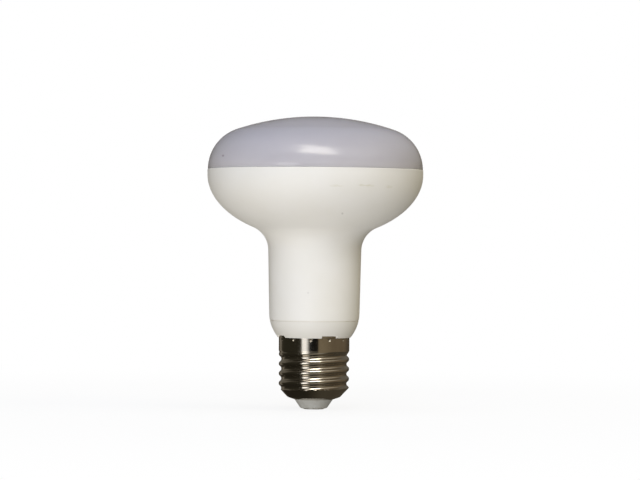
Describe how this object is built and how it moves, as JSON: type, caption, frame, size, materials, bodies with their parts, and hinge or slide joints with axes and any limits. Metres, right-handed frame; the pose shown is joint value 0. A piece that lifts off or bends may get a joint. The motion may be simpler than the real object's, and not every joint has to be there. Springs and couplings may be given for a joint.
{
  "type": "reflector bulb",
  "caption": "LED reflector lamp with a milky domed diffuser, a white moulded head and neck, and a nickel screw cap with its insulator and centre contact.",
  "frame": {"origin": "on the lamp's axis at the screw cap's rim, where the housing's lower edge meets the metal shell", "axes": "+Z along the lamp's axis towards the diffuser, so the lamp stands cap down; -Y is the side that the picture shows, +X is to its right"},
  "size_m": [0.08, 0.08, 0.1084],
  "materials": {
    "diffuser_plastic": "milky, glossy, faint lavender grey",
    "housing_plastic": "satin warm white, moulded",
    "cap_nickel": "bright nickel plate",
    "insulator_plastic": "pale grey, moulded",
    "contact_metal": "tinned, lightly scratched"
  },
  "bodies": {
    "root": {"diffuser": "diffuser_plastic", "housing": "housing_plastic", "screw_cap": "cap_nickel", "cap_insulator": "insulator_plastic", "centre_contact": "contact_metal"}
  },
  "joints": []
}
